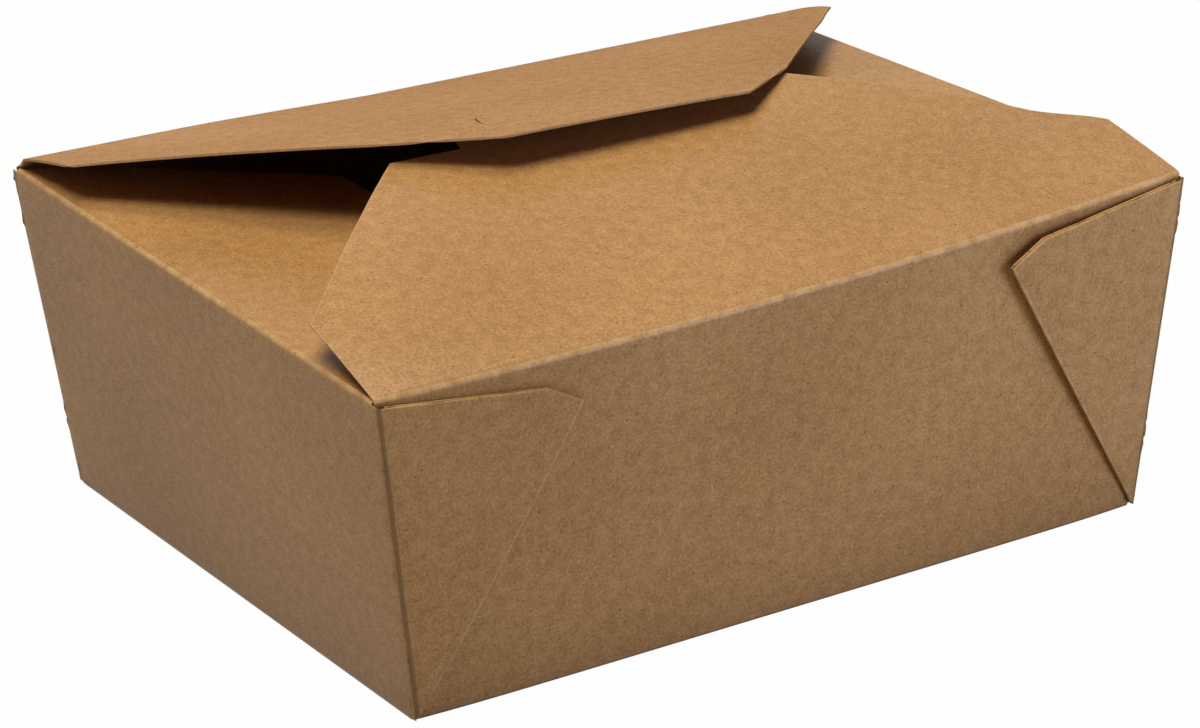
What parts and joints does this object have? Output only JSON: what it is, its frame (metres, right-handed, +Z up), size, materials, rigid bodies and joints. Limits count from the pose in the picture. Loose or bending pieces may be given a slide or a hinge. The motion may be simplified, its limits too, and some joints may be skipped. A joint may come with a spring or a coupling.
{
  "type": "folded takeaway food box",
  "caption": "Folded kraft board takeaway box with leaning walls, web corners folded on the long walls, and two long flaps that lock over two side flaps.",
  "frame": {"origin": "centre of the base's underside, under the middle of the box", "axes": "+X along the long side, to the right when facing the front wall; -Y out of the front wall, whose flap carries the tongue; +Z up, out of the base"},
  "size_m": [0.1718, 0.1338, 0.0797],
  "materials": {
    "board": "uncoated brown kraft board with fine fibres and pale pressed creases"
  },
  "bodies": {
    "carton": {"carton_body": "board"},
    "back_flap": {"back_flap": "board"}
  },
  "joints": [
    {"name": "back_flap_crease", "type": "hinge", "parent": "carton", "child": "back_flap", "pos_m": [0, 0.06555, 0.0635], "axis": [-1, 0, 0], "range_deg": [0, 180]}
  ]
}
